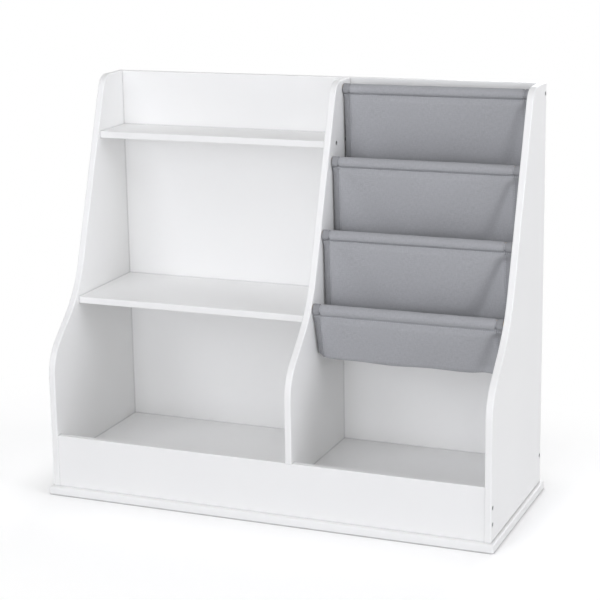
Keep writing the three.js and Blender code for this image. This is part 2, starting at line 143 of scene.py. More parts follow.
@dataclass(frozen=True)
class LacqueredBoard:
    """Fibreboard sprayed with white satin lacquer, rubbed down between coats.

    The eye gets a cool, even white with a soft gloss, a very faint orange peel, a slight unevenness in
    the film and a fine grey line of painted shade in the inner corners, where two boards meet.
    """

    colour: str = "#F8F8F7"
    shade: str = "#F5F5F5"
    roughness: float = 0.42
    rubbed: tuple[float, float] = (0.03, 0.04)  # how much glossier and duller the unevenness makes it
    ior: float = 1.5
    cloud_mm: float = 160.0  # how far apart the film's slight changes of tone are
    peel_mm: float = 3.0  # real orange peel is about 1 mm; drawn coarser so that it shows
    peel_height_mm: float = 0.012
    painted_joint_shade_mm: float = 3.2  # how far from a joint its painted shade line reaches
    painted_joint_shade_open: tuple[float, float] = (0.5, 0.96)  # open shares of the view at full painted shade and at none
    # the darkest share of the colour that the painted joint shade leaves
    painted_joint_shade_tone: float = 0.80

    def make(self) -> bpy.types.Material:
        """Builds the material: two close whites mixed by soft noise, painted shade lines at the joints and a
        fine bump.

        Returns:
            The material.
        """
        material, tree = new_material("sprayed_lacquer_on_board")
        place = add_node(tree, "TexCoord").outputs["Object"]
        cloud = add_node(
            tree,
            "TexNoise",
            {"Vector": place, "Scale": 1 / (self.cloud_mm * METRES), "Detail": 3.0, "Roughness": 0.5},
        )
        tone = add_node(
            tree, "Mix", {0: cloud, 6: linear(self.colour), 7: linear(self.shade)}, data_type="RGBA"
        )
        # painted shade: the colour darkens where other boards close in on the view, in every inner corner
        near = add_node(
            tree, "AmbientOcclusion", {"Distance": self.painted_joint_shade_mm * METRES}, samples=8
        ).outputs["AO"]
        full, none = self.painted_joint_shade_open
        joint_shade = add_node(
            tree, "MapRange", {"Value": near, "From Min": full, "From Max": none, "To Min": self.painted_joint_shade_tone}
        )
        shade_lined = add_node(
            tree, "Mix", {0: 1.0, 6: tone.outputs[2], 7: joint_shade}, data_type="RGBA", blend_type="MULTIPLY"
        )
        peel = add_node(
            tree,
            "TexNoise",
            {"Vector": place, "Scale": 1 / (self.peel_mm * METRES), "Detail": 2.0, "Roughness": 0.4},
        )
        bump = add_node(
            tree, "Bump", {"Height": peel, "Strength": 1.0, "Distance": self.peel_height_mm * METRES}
        )
        glossier, duller = self.rubbed
        gloss = add_node(
            tree,
            "MapRange",
            {"Value": cloud, "To Min": self.roughness - glossier, "To Max": self.roughness + duller},
        )
        shader = add_node(
            tree,
            "BsdfPrincipled",
            {"Base Color": shade_lined.outputs[2], "Roughness": gloss, "IOR": self.ior, "Normal": bump},
        )
        add_node(tree, "OutputMaterial", {"Surface": shader})
        return material


@dataclass(frozen=True)
class WovenCanvas:
    """Plain-woven polyester canvas, piece dyed grey.

    The eye gets a matt mid grey, broken by the over and under of the threads, by thicker slubs along
    both thread directions and by a soft bloom of fibre at grazing angles.
    """

    colour: str = "#ADAEB2"
    light: str = "#B7B8BC"
    dark: str = "#A3A4A8"
    bloom: str = "#E0E0E2"
    roughness: float = 0.86
    ior: float = 1.45
    shine: float = 0.25  # loose fibre shines less than a smooth plastic
    sheen: float = 0.18
    sheen_roughness: float = 0.5
    thread_mm: float = 1.25  # real threads lie 0.5 mm apart; drawn coarser so that the weave shows
    thread_tones: tuple[float, float] = (0.94, 1.03)  # between two threads and on top of one
    slub_mm: float = 1.8
    slub_run_mm: float = 7.0
    slub_spread: tuple[float, float] = (0.36, 0.64)  # the noise's own range, stretched to dark and light
    patch_mm: float = 55.0
    patch_spread: tuple[float, float] = (0.3, 0.7)
    patch_share: tuple[float, float] = (0.2, 0.7)  # how much of the even colour a patch gets
    weave_height_mm: float = 0.22
    weave_strength: float = 0.6
    width_mm: float = 329.5
    hem_mm: float = 12.0
    hem_blur_mm: float = 0.4
    painted_hem_shade: float = 0.79  # painted shade: the hem strips get this share of the colour

    def make(self) -> bpy.types.Material:
        """Builds the material on the cloth's own UV map, which is in millimetres of flat cloth.

        Where a square of a checker is light the threads of one direction lie on top, elsewhere those of
        the other; each thread is a sine band. The hems are the two strips beside the edges, painted darker as
        shade.

        Returns:
            The material.
        """
        material, tree = new_material("woven_polyester_canvas")
        flat = add_node(tree, "UVMap", uv_map="flat")
        threads = 1 / self.thread_mm
        counted = add_node(tree, "Mapping", {"Vector": flat, "Scale": (threads, threads, 1.0)})
        warp, weft = [
            add_node(
                tree,
                "TexWave",
                {"Vector": counted, "Scale": ONE_BAND, "Distortion": 0.0},
                wave_type="BANDS",
                bands_direction=direction,
                wave_profile="SIN",
            ).outputs["Fac"]
            for direction in ("X", "Y")
        ]
        over = add_node(tree, "TexChecker", {"Vector": counted, "Scale": 1.0}).outputs["Fac"]
        weave = add_node(tree, "Mix", {0: over, 2: warp, 3: weft}, data_type="FLOAT")
        slubs = []
        for width, run in ((self.slub_mm, self.slub_run_mm), (self.slub_run_mm, self.slub_mm)):
            drawn = add_node(tree, "Mapping", {"Vector": flat, "Scale": (1 / width, 1 / run, 1.0)})
            noise = add_node(
                tree, "TexNoise", {"Vector": drawn, "Scale": 1.0, "Detail": 2.0, "Roughness": 0.6}
            )
            slubs.append(noise)
        slub = add_node(tree, "Mix", {0: 0.5, 2: slubs[0], 3: slubs[1]}, data_type="FLOAT")
        low, high = self.slub_spread
        slub_wide = add_node(tree, "MapRange", {"Value": slub, "From Min": low, "From Max": high})
        plain = add_node(
            tree, "Mix", {0: slub_wide, 6: linear(self.dark), 7: linear(self.light)}, data_type="RGBA"
        ).outputs[2]
        patch = add_node(
            tree, "TexNoise", {"Vector": flat, "Scale": 1 / self.patch_mm, "Detail": 2.0, "Roughness": 0.5}
        )
        low, high = self.patch_spread
        least, most = self.patch_share
        patch_wide = add_node(
            tree,
            "MapRange",
            {"Value": patch, "From Min": low, "From Max": high, "To Min": least, "To Max": most},
        )
        toned = add_node(
            tree, "Mix", {0: patch_wide, 6: plain, 7: linear(self.colour)}, data_type="RGBA"
        ).outputs[2]
        between, on_top = self.thread_tones
        thread_tone = add_node(tree, "MapRange", {"Value": weave, "To Min": between, "To Max": on_top})
        across = add_node(tree, "SeparateXYZ", {"Vector": flat}).outputs["X"]
        from_middle = add_node(tree, "Math", {0: across, 1: self.width_mm / 2}, operation="SUBTRACT")
        aside = add_node(tree, "Math", {0: from_middle}, operation="ABSOLUTE")
        inner = self.width_mm / 2 - self.hem_mm
        # painted shade: the hem strips beside both edges are darkened
        hem_shade = add_node(
            tree,
            "MapRange",
            {
                "Value": aside,
                "From Min": inner - self.hem_blur_mm,
                "From Max": inner + self.hem_blur_mm,
                "To Min": 1.0,
                "To Max": self.painted_hem_shade,
            },
        )
        tone = add_node(tree, "Math", {0: thread_tone, 1: hem_shade}, operation="MULTIPLY")
        shaded = add_node(
            tree, "Mix", {0: 1.0, 6: toned, 7: tone}, data_type="RGBA", blend_type="MULTIPLY"
        ).outputs[2]
        height = add_node(tree, "Math", {0: weave, 1: slub}, operation="ADD")
        bump = add_node(
            tree,
            "Bump",
            {"Height": height, "Strength": self.weave_strength, "Distance": self.weave_height_mm * METRES},
        )
        shader = add_node(
            tree,
            "BsdfPrincipled",
            {
                "Base Color": shaded,
                "Roughness": self.roughness,
                "IOR": self.ior,
                "Specular IOR Level": self.shine,
                "Sheen Weight": self.sheen,
                "Sheen Roughness": self.sheen_roughness,
                "Sheen Tint": linear(self.bloom),
                "Normal": bump,
            },
        )
        add_node(tree, "OutputMaterial", {"Surface": shader})
        return material


@dataclass(frozen=True)
class SpunThread:
    """Spun polyester sewing thread, a little lighter than the canvas.

    The eye gets small light dashes, each with a twist across it.
    """

    colour: str = "#CDCFD4"
    shade: str = "#AEB0B6"
    roughness: float = 0.7
    ior: float = 1.5
    twist_mm: float = 0.8  # real twist is about 0.3 mm; drawn coarser so that it shows
    twist_depth: float = 0.7  # how far a twist goes towards the shade

    def make(self) -> bpy.types.Material:
        """Builds the material: slanting bands of two greys.

        Returns:
            The material.
        """
        material, tree = new_material("spun_polyester_thread")
        place = add_node(tree, "TexCoord").outputs["Object"]
        twist = add_node(
            tree,
            "TexWave",
            {"Vector": place, "Scale": ONE_BAND / (self.twist_mm * METRES)},
            wave_type="BANDS",
            bands_direction="DIAGONAL",
        )
        tone = add_node(tree, "MapRange", {"Value": twist.outputs["Fac"], "To Max": self.twist_depth})
        ramp = add_node(tree, "ValToRGB", {"Fac": tone})
        ramp.color_ramp.elements[0].color = linear(self.colour)
        ramp.color_ramp.elements[1].color = linear(self.shade)
        shader = add_node(
            tree, "BsdfPrincipled", {"Base Color": ramp, "Roughness": self.roughness, "IOR": self.ior}
        )
        add_node(tree, "OutputMaterial", {"Surface": shader})
        return material


@dataclass(frozen=True)
class TurnedBeech:
    """Beech turned to a rod and left bare.

    The eye gets a pale, warm wood with fine short flecks and a faint grain along the rod.
    """

    light: str = "#DDBF97"
    dark: str = "#C6A176"
    roughness: float = 0.5
    ior: float = 1.5
    grain_mm: float = 1.4
    grain_run_mm: float = 60.0
    fleck_mm: float = 0.8
    fleck_run_mm: float = 5.0
    figure: tuple[float, float] = (0.1, 0.4)  # grain times fleck, where it is darkest and lightest
    grain_height_mm: float = 0.1

    def make(self) -> bpy.types.Material:
        """Builds the material: long grain and short flecks, both drawn out along X.

        Returns:
            The material.
        """
        material, tree = new_material("turned_beech")
        place = add_node(tree, "TexCoord").outputs["Object"]
        streaks = []
        for width_mm, run_mm, detail in (
            (self.grain_mm, self.grain_run_mm, 4.0),
            (self.fleck_mm, self.fleck_run_mm, 1.0),
        ):
            across = 1 / (width_mm * METRES)
            along = 1 / (run_mm * METRES)
            drawn = add_node(tree, "Mapping", {"Vector": place, "Scale": (along, across, across)})
            noise = add_node(tree, "TexNoise", {"Vector": drawn, "Scale": 1.0, "Detail": detail})
            streaks.append(noise)
        grain, fleck = streaks
        both = add_node(tree, "Math", {0: grain, 1: fleck}, operation="MULTIPLY")
        ramp = add_node(tree, "ValToRGB", {"Fac": both})
        for stop, share, colour in zip(ramp.color_ramp.elements, self.figure, (self.dark, self.light)):
            stop.position = share
            stop.color = linear(colour)
        bump = add_node(
            tree, "Bump", {"Height": both, "Strength": 0.3, "Distance": self.grain_height_mm * METRES}
        )
        shader = add_node(
            tree,
            "BsdfPrincipled",
            {"Base Color": ramp, "Roughness": self.roughness, "IOR": self.ior, "Normal": bump},
        )
        add_node(tree, "OutputMaterial", {"Surface": shader})
        return material


@dataclass(frozen=True)
class DarkZinc:
    """Steel screws, zinc plated and passivated dark.

    The eye gets a dull grey metal with fine scratches from the driver.
    """

    colour: str = "#3C3E42"
    shade: str = "#222428"
    roughness: float = 0.42
    scratch_mm: float = 0.5
    scratch_depth_mm: float = 0.05

    def make(self) -> bpy.types.Material:
        """Builds the material: two greys mixed by fine noise, on bare metal.

        Returns:
            The material.
        """
        material, tree = new_material("passivated_zinc_plate")
        place = add_node(tree, "TexCoord").outputs["Object"]
        noise = add_node(
            tree, "TexNoise", {"Vector": place, "Scale": 1 / (self.scratch_mm * METRES), "Detail": 3.0}
        )
        ramp = add_node(tree, "ValToRGB", {"Fac": noise})
        ramp.color_ramp.elements[0].color = linear(self.shade)
        ramp.color_ramp.elements[1].color = linear(self.colour)
        bump = add_node(
            tree, "Bump", {"Height": noise, "Strength": 0.3, "Distance": self.scratch_depth_mm * METRES}
        )
        shader = add_node(
            tree,
            "BsdfPrincipled",
            {"Base Color": ramp, "Metallic": 1.0, "Roughness": self.roughness, "Normal": bump},
        )
        add_node(tree, "OutputMaterial", {"Surface": shader})
        return material


class Finish(Enum):
    """The finishes, by the material slot that each one belongs to."""

    LACQUER = "lacquered_board"
    CANVAS = "sling_cloth"
    ROD = "turned_rod"
    DOWEL = "beech_dowel"
    ZINC = "zinc_screw"


# Meshes


def box_mm(node: str) -> tuple[Array, Array]:
    """A CAD node's lowest and highest corners, in millimetres."""
    low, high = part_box(node)
    return np.array(low) / METRES, np.array(high) / METRES


def mesh_object(
    name: str,
    points: Array,
    faces: Sequence[Sequence[int]],
    material: bpy.types.Material,
    flat: Array | None = None,
) -> bpy.types.Object:
    """Makes a smooth-shaded mesh object at the origin.

    Args:
        name: the piece's name.
        points: one row for each point, in millimetres.
        faces: the faces' point numbers, outward side against the clock.
        material: the piece's finish.
        flat: for each point, its place on the flat cloth in millimetres, which becomes the UV map "flat".

    Returns:
        The object, linked to the scene.
    """
    mesh = bpy.data.meshes.new(name)
    mesh.from_pydata(points * METRES, [], faces)
    mesh.polygons.foreach_set("use_smooth", np.ones(len(mesh.polygons), bool))
    mesh.materials.append(material)
    if flat is not None:
        corners = np.zeros(len(mesh.loops), np.int32)
        mesh.loops.foreach_get("vertex_index", corners)
        layer = mesh.uv_layers.new(name="flat")
        layer.data.foreach_set("uv", flat[corners].astype(np.float32).ravel())
    mesh.update()
    piece = bpy.data.objects.new(name, mesh)
    bpy.context.scene.collection.objects.link(piece)
    return piece


def bell(distance: Array, width: Array | float) -> Array:
    """A soft hump of height one: e to the power of minus the square of distance over width."""
    return np.exp(-((distance / width) ** 2))


def smooth_step(value: Array, low: float, high: float) -> Array:
    """Rises from 0 at low to 1 at high along 3t² − 2t³, and stays level outside."""
    share = np.clip((value - low) / (high - low), 0, 1)
    return share * share * (3 - 2 * share)


def unit(vectors: Array) -> Array:
    """Vectors made one long: each divided by the root of the sum of its squares."""
    return vectors / np.linalg.norm(vectors, axis=-1, keepdims=True)


def run_along(line: Array) -> Array:
    """How far along a line each of its points lies: the running sum of the steps between them."""
    return np.concatenate([[0], np.cumsum(np.linalg.norm(np.diff(line, axis=0), axis=1))])


def read_off(line: Array, run: Array, at: Array) -> Array:
    """A line's places at the distances at, straight between its points, which lie at the distances run."""
    return np.stack([np.interp(at, run, line[:, axis]) for axis in (0, 1)], axis=-1)


def evened(line: Array, step: float, window: int) -> Array:
    """Puts a line's points an even step apart and softens its corners.

    Each point becomes the mean of its neighbours, weighted by a raised cosine. The line is continued
    past each end by its own half turn about it, so that the ends stay where they are.

    Args:
        line: the points, of which neighbours may coincide.
        step: how far apart the new ones are.
        window: how many points a mean takes in, an odd number.

    Returns:
        The new points.
    """
    apart = np.linalg.norm(np.diff(line, axis=0), axis=1) > SAME_PLACE
    line = line[np.concatenate([[True], apart])]
    run = run_along(line)
    even = read_off(line, run, np.append(np.arange(0, run[-1], step), run[-1]))
    weights = np.hanning(window)
    weights /= weights.sum()
    half = window // 2
    padded = np.pad(even, ((half, half), (0, 0)), mode="reflect", reflect_type="odd")
    return np.column_stack([np.convolve(padded[:, axis], weights, mode="valid") for axis in (0, 1)])


def heading(angle: float) -> Array:
    """The way along a circle at an angle: (minus the angle's sine, its cosine)."""
    return np.array([-math.sin(angle), math.cos(angle)])


def arc(centre: Array, radius: float, start: float, end: float, count: int) -> Array:
    """Points of a circle: the centre plus radius times (cosine, sine), from one angle to another."""
    angle = np.linspace(start, end, count)
    return centre + radius * np.column_stack([np.cos(angle), np.sin(angle)])


def curve(start: Array, lead: Array, trail: Array, end: Array, count: int) -> Array:
    """Points of a cubic curve, the four places weighted by u³, 3u²t, 3ut² and t³ with u = 1 − t.

    Args:
        start: where it begins.
        lead: the place that it sets off towards.
        trail: the place that it arrives from.
        end: where it ends.
        count: how many points.

    Returns:
        The points.
    """
    t = np.linspace(0, 1, count)[:, None]
    u = 1 - t
    return u**3 * start + 3 * u * u * t * lead + 3 * u * t * t * trail + t**3 * end


def rounded_corner(before: Array, corner: Array, after: Array, radius: float, count: int) -> Array:
    """Points of the circle that touches both edges of a corner.

    The circle's centre lies on the line that halves the corner, and the touching points are radius over
    the tangent of half the angle away from the corner.

    Args:
        before: the edge's other end before the corner.
        corner: the corner itself.
        after: the edge's other end after it.
        radius: the circle's radius.
        count: how many points.

    Returns:
        The points, from the first edge to the second.
    """
    first, second = unit(before - corner), unit(after - corner)
    half = math.acos(float(np.clip(first @ second, -1, 1))) / 2
    reach = radius / math.tan(half)
    centre = corner + unit(first + second) * radius / math.sin(half)
    start = corner + first * reach - centre
    end = corner + second * reach - centre
    sweep = math.pi - 2 * half
    turn = math.copysign(1.0, start[0] * end[1] - start[1] * end[0])
    begin = math.atan2(start[1], start[0])
    return arc(centre, radius, begin, begin + turn * sweep, count)


# The slings


@dataclass(frozen=True)
class Wave:
    """A sewn cloth's wave, whose pitch wanders, in millimetres."""

    height: float
    pitch: float
    swing: float  # how far the slow wave shifts the quick one, in radians
    reach: float  # the slow wave's run for one radian

    def at(self, run: Array, phase: float) -> Array:
        """Height times the sine of 2π run over pitch, plus swing times a slow sine of run over reach."""
        slow = np.sin(run / self.reach + phase)
        return self.height * np.sin(2 * np.pi * run / self.pitch + self.swing * slow)


@dataclass(frozen=True)
class Creases:
    """How one sling hangs in its bay; depths and distances in millimetres.

    The first seven differ from sling to sling, the others are the same for all four.
    """

    belly: float
    right_valley: float
    left_valley: float
    right_run: float  # how far the right valley runs in from its corner on its way down
    left_run: float
    corner_lift: float  # the bottom's left corner is drawn up by this
    pinch: float
    belly_power: float = 0.85  # below one the belly is deepest above the sheet's middle
    rear_hollow: float = 0.5  # the rear sheet's hollow, as a share of the belly
    right_start: float = 9.0  # the right valley's distance from the cloth's edge at the top
    right_widths: tuple[float, float] = (6.0, 14.0)  # its width at the top, and what it gains below
    right_slack: float = 1.9  # right of its line it is wider by this factor
    left_start: float = 4.0  # the left valley's distance from the hem's stitches at the top
    left_widths: tuple[float, float] = (10.0, 22.0)
    valley_full: tuple[float, float] = (0.16, 0.8)  # shares of the way down between which it is full
    valley_loss: float = 0.6  # the share of its depth that is lost at the bottom
    corner_reach: tuple[float, float] = (14.0, 20.0)  # of the left and the right bottom corner
    right_corner: float = 1.9  # the right corner hangs lower by this many times the left one's lift
    sag: float = 0.3
    bottom_reach: float = 34.0
    draw: float = 0.9  # the front sheet's edges are drawn inwards by this
    draw_reach: float = 16.0
    bow_power: float = 0.7  # below one the sheet stays full until close to its edges


@dataclass(frozen=True)
class Sewing:
    """How the cloth lies along its stitches and over its rods, in millimetres."""

    sheet_rise: float = 2.0  # the front sheet stands out by this
    hem_back: tuple[float, float] = (5.5, 3.5)  # its left and right edges lie this far behind that
    hem_groove: tuple[float, float] = (1.7, 1.2)  # depth and half width under a hem's stitches
    seam_groove: tuple[float, float] = (2.8, 1.25)  # the same under a sleeve's
    pinch_width: float = 1.6
    pinch_run: float = 4.0
    pinch_over_seam: float = 1.5
    pucker: Wave = Wave(0.22, 9.5, 1.3, 17.0)  # along the hems' stitches
    pucker_at: tuple[float, float] = (2.0, 4.5)  # distance from the stitches and half width
    gather: Wave = Wave(0.16, 13.0, 1.7, 23.0)  # along the sleeves' stitches
    gather_at: tuple[float, float] = (4.0, 6.0)
    sleeve_wave: Wave = Wave(0.14, 22 * math.pi, 1.1, 29.0)
    sleeve_flare: float = 0.3  # the sleeve widens by this at its hems
    sleeve_fade: float = 3.0
    drift: float = 0.75
    cross_drift: float = 0.6  # the slanting part of the drift, as a share of the other
    drift_reach: tuple[float, float] = (31.0, 27.0)  # across and along
    cross_reach: tuple[float, float] = (17.3, 41.0)


@dataclass(frozen=True)
class Spot:
    """Places on a sling's cloth and what its folds depend on there; all fields have one shape."""

    across: Array  # millimetres from the left edge
    along: Array  # millimetres along the section
    right: Array  # millimetres from the right edge
    edge: Array  # millimetres from the nearer edge
    in_hem: Array  # 1 at the edge, 0 from the hem's stitches inwards
    down: Array  # 0 at the front seam, 1 from the pocket's bottom on
    up: Array  # 0 before the bottom, 1 at the rear seam
    on_sheet: Array  # 0 on the sleeves, 1 between them
    on_front: Array  # 0 on the sleeves and the rear sheet, 1 on the front sheet
    bow: Array  # 0 at both edges, 1 in the middle


@dataclass
class Sling:
    """One cloth pocket between two rods, cut in one piece and sewn round both.

    The cloth is a flat tube of two faces, carried along the pocket's section: it starts behind the front
    seam, goes round the front rod, down the front, round the bottom, up the back and round the rear rod.
    Sizes are in millimetres.
    """

    number: int
    creases: Creases
    bottom: float  # the pocket's lowest level
    lean: float  # the front sheet goes back by this on its way down
    sewing: Sewing = Sewing()
    thickness: float = 1.1
    hem_thickness: float = 0.8  # what the turned-in edge adds behind
    hem_width: float = 12.0
    hem_end: tuple[float, float] = (0.8, 2.4)  # it thins out between these distances past its stitches
    hem_pressed: float = 0.8  # the share of it that is pressed flat at a sleeve's seam
    press_reach: float = 9.0
    rod_gap: float = 0.3
    sleeve_radius: float = 9.0
    sleeve_turn: tuple[float, float] = (-38.0, 208.0)  # a front sleeve's round part, in degrees from the back
    sleeve_pull: tuple[float, float, float] = (3.5, 3.0, 2.5)  # how stiffly the curves below it start and end
    seam_offset: float = 5.5  # the sheet leaves its sleeve this far ahead of the sleeve's middle
    seam_drop: float = 9.0  # rod's middle to the seam
    seam_gap: float = 2.2  # between the middles of the two cloths sewn together
    tail: float = 5.0  # cloth past the seam
    front_bend: float = 7.0
    rear_bend: float = 20.0
    bend_room: float = 0.48  # the share of the pocket's depth that one bend can take
    bottom_rise: float = 8.0  # the pocket's bottom rises by this towards the back
    seam_fade: float = 14.0  # the sheet's folds grow over this distance from a seam
    front_fade: float = 0.4  # and those of the front end over this share of the way up the rear sheet
    grid_step: float = 2.4
    grid_columns: int = 110
    edge_points: int = 7  # round each side edge
    stitch_pitch: float = 3.6
    stitch_length: float = 2.5
    stitch_margin: float = 3.0  # from a row's ends to its first and last stitches
    stitch_below: float = 1.8  # from a seam to the row of stitches along it
    stitch_over: tuple[float, float] = (26.0, 1.5)  # a hem's row over the sleeve, before the seam
    stitch_arch: float = 0.28
    stitch_sunk: float = 0.1
    thread_radius: float = 0.40  # real thread is half as thick; drawn thicker so that it shows
    path: Array = field(init=False, repr=False)
    lengths: Array = field(init=False, repr=False)
    seam_at: float = field(init=False)
    bottom_at: float = field(init=False)
    rear_seam_at: float = field(init=False)
    from_x: float = field(init=False)
    width: float = field(init=False)

    def __post_init__(self) -> None:
        """Reads the rods' places and lays out the section."""
        low, high = box_mm(f"sling_{self.number}")
        self.from_x = float(low[0])
        self.width = float(high[0] - low[0])
        self.lay_path()

    def rod(self, side: str) -> Array:
        """The middle of the front or rear rod, as (depth, height)."""
        low, high = box_mm(f"rod_{side}_{self.number}")
        return ((low + high) / 2)[1:]

    def sleeve(self, rod: Array, towards: Array) -> Array:
        """The line of a front sleeve: tail, back, top, front and seam. A rear one is its mirror image.

        It is a circle that touches its rod's top, drawn in below by a cubic curve on each side.

        Args:
            rod: its rod's middle, as (depth, height).
            towards: the direction in which the sheet leaves the seam.

        Returns:
            The points, from the tail's end to the seam.
        """
        low, high = box_mm(f"rod_front_{self.number}")
        rod_radius = float(high[2] - low[2]) / 2
        hang = self.sleeve_radius - rod_radius - self.rod_gap - self.thickness / 2
        seam = rod + np.array([-self.seam_offset, -self.seam_drop])
        behind = seam + np.array([self.seam_gap, 0.0])
        begin, end = (math.radians(angle) for angle in self.sleeve_turn)
        ring = arc(rod + DOWN * hang, self.sleeve_radius, begin, end, RING_POINTS)
        at_tail, at_ring, at_seam = self.sleeve_pull
        rising = curve(
            behind, behind - DOWN * at_tail, ring[0] - heading(begin) * at_ring, ring[0], CURVE_POINTS
        )
        falling = curve(
            ring[-1], ring[-1] + heading(end) * at_ring, seam - towards * at_seam, seam, CURVE_POINTS
        )
        return np.vstack([behind + DOWN * self.tail, rising, ring[1:-1], falling])

    def lay_path(self) -> None:
        """Works out the cloth's middle line in the YZ plane, and where its seams and bottom are.

        Between its two sleeves the sheet is a straight line, two rounded corners and a straight line.
        """
        front, rear = self.rod("front"), self.rod("rear")
        seam = front + np.array([-self.seam_offset, -self.seam_drop])
        rear_seam = rear + np.array([self.seam_offset, -self.seam_drop])
        first = np.array([seam[0] + self.lean, self.bottom])
        second = np.array([rear_seam[0], self.bottom + self.bottom_rise])
        room = self.bend_room * float(second[0] - first[0])
        mirror = np.array([-1.0, 1.0])
        line = np.vstack(
            [
                self.sleeve(front, unit(first - seam)),
                rounded_corner(seam, first, second, min(self.front_bend, room), BEND_POINTS),
                rounded_corner(first, second, rear_seam, min(self.rear_bend, room), BEND_POINTS),
                (self.sleeve(rear * mirror, DOWN) * mirror)[::-1],
            ]
        )
        self.path = evened(line, PATH_STEP, SOFT_POINTS)
        self.lengths = run_along(self.path)
        self.seam_at = self.nearest(seam)
        self.rear_seam_at = self.nearest(rear_seam)
        self.bottom_at = float(self.lengths[np.argmin(self.path[:, 1])])

    def nearest(self, place: Array) -> float:
        """How far along the cloth the middle line comes nearest to a place in the section."""
        return float(self.lengths[np.argmin(np.linalg.norm(self.path - place, axis=1))])

    def seams(self) -> tuple[float, float]:
        """How far along the cloth its front and rear seams lie."""
        return self.seam_at, self.rear_seam_at

    def spot(self, across: Array, along: Array) -> Spot:
        """Works out what the folds depend on: distances, shares of the way, and fades between parts.

        Args:
            across: millimetres from the cloth's left edge.
            along: millimetres along the section.

        Returns:
            Those places with all that the folds depend on.
        """
        right = self.width - across
        edge = np.minimum(across, right)
        up = np.clip((along - self.bottom_at) / (self.rear_seam_at - self.bottom_at), 0, 1)
        past_front = smooth_step(along, self.seam_at, self.seam_at + self.seam_fade)
        past_rear = smooth_step(along, self.rear_seam_at - self.seam_fade, self.rear_seam_at)
        on_sheet = past_front * (1 - past_rear)
        return Spot(
            across=across,
            along=along,
            right=right,
            edge=edge,
            in_hem=np.clip(1 - edge / self.hem_width, 0, 1),
            down=np.clip((along - self.seam_at) / (self.bottom_at - self.seam_at), 0, 1),
            up=up,
            on_sheet=on_sheet,
            on_front=on_sheet * (1 - smooth_step(up, 0.0, self.front_fade)),
            bow=np.sin(np.pi * np.clip(across / self.width, 0, 1)) ** self.creases.bow_power,
        )

    def folds(self, spot: Spot) -> Array:
        """The sheet's belly and the two valleys that run in from its top corners.

        The belly is a sine down the sheet, and behind it a shallower hollow is a sine up the rear. A
        valley is a bell across a slanting line, wider the further down, and wider still right of the
        right one's line; it grows from the seam and loses part of its depth at the bottom.

        Args:
            spot: the places.

        Returns:
            How far the cloth swells outwards there, in millimetres.
        """
        crease = self.creases
        belly = np.sin(np.pi * spot.down**crease.belly_power) * spot.on_front
        hollow = crease.rear_hollow * np.sin(np.pi * spot.up) * spot.on_sheet * (spot.down >= 1)
        right_line = spot.right - crease.right_start - crease.right_run * spot.down
        right_width = crease.right_widths[0] + crease.right_widths[1] * spot.down
        right_width = right_width * np.where(right_line < 0, crease.right_slack, 1.0)
        left_line = spot.across - self.hem_width - crease.left_start - crease.left_run * spot.down
        left_width = crease.left_widths[0] + crease.left_widths[1] * spot.down
        valleys = crease.right_valley * bell(right_line, right_width)
        valleys = valleys + crease.left_valley * bell(left_line, left_width)
        grown, waning = crease.valley_full
        full = smooth_step(spot.down, 0.0, grown) * (
            1 - crease.valley_loss * smooth_step(spot.down, waning, 1.0)
        )
        return crease.belly * spot.bow * (belly - hollow) - valleys * full * spot.on_front

    def hems(self, spot: Spot) -> Array:
        """The front sheet's rise, and the hems, which bend straight back from their stitches.

        The stitches lie in a groove, a bell, which is deeper where it meets the front sleeve's seam. A
        wave puckers the cloth beside them.

        Args:
            spot: the places.

        Returns:
            How far the cloth swells outwards there, in millimetres.
        """
        sewing = self.sewing
        inwards = spot.edge - self.hem_width
        back = np.where(spot.across < spot.right, *sewing.hem_back)
        depth, width = sewing.hem_groove
        over_seam = bell(spot.along - self.seam_at + sewing.pinch_over_seam, sewing.pinch_run)
        pinch = self.creases.pinch * bell(inwards, sewing.pinch_width) * over_seam
        beside, reach = sewing.pucker_at
        pucker = sewing.pucker.at(spot.along, self.number) * bell(inwards - beside, reach)
        bent = sewing.sheet_rise - back * spot.in_hem + pucker
        return bent * spot.on_front - depth * bell(inwards, width) - pinch

    def sleeve_seams(self, spot: Spot) -> Array:
        """The two grooves under the sleeves' stitches, bells, and the gathered waves beside them.

        Args:
            spot: the places.

        Returns:
            How far the cloth swells outwards there, in millimetres.
        """
        depth, width = self.sewing.seam_groove
        beside, reach = self.sewing.gather_at
        gather = self.sewing.gather.at(spot.across, 2 * self.number)
        return sum(
            gather * bell(spot.along - seam - beside, reach) - depth * bell(spot.along - seam, width)
            for seam in self.seams()
        )

    def ripples(self, spot: Spot) -> Array:
        """The sheet's slow drift and the front sleeve's waves, which no stitch or fold explains.

        The drift is a sine across times a sine along, plus a slanting sine, each shifted by the sling's
        number so that no two are alike. The sleeve also widens at its hems, as the root of the distance
        past the stitches.

        Args:
            spot: the places.

        Returns:
            How far the cloth swells outwards there, in millimetres.
        """
        sewing, turn = self.sewing, self.number
        wide, long = sewing.drift_reach
        drift = np.sin(spot.across / wide + turn) * np.sin(spot.along / long + 2.1 * turn)
        wide, long = sewing.cross_reach
        slanting = np.sin(spot.across / wide + spot.along / long + 0.7 * turn)
        drift = sewing.drift * (drift + sewing.cross_drift * slanting)
        on_sleeve = 1 - smooth_step(spot.along, self.seam_at - sewing.sleeve_fade, self.seam_at)
        sleeve = sewing.sleeve_wave.at(spot.across, turn) + sewing.sleeve_flare * spot.in_hem**0.5
        return drift * spot.on_sheet * spot.bow + sleeve * on_sleeve

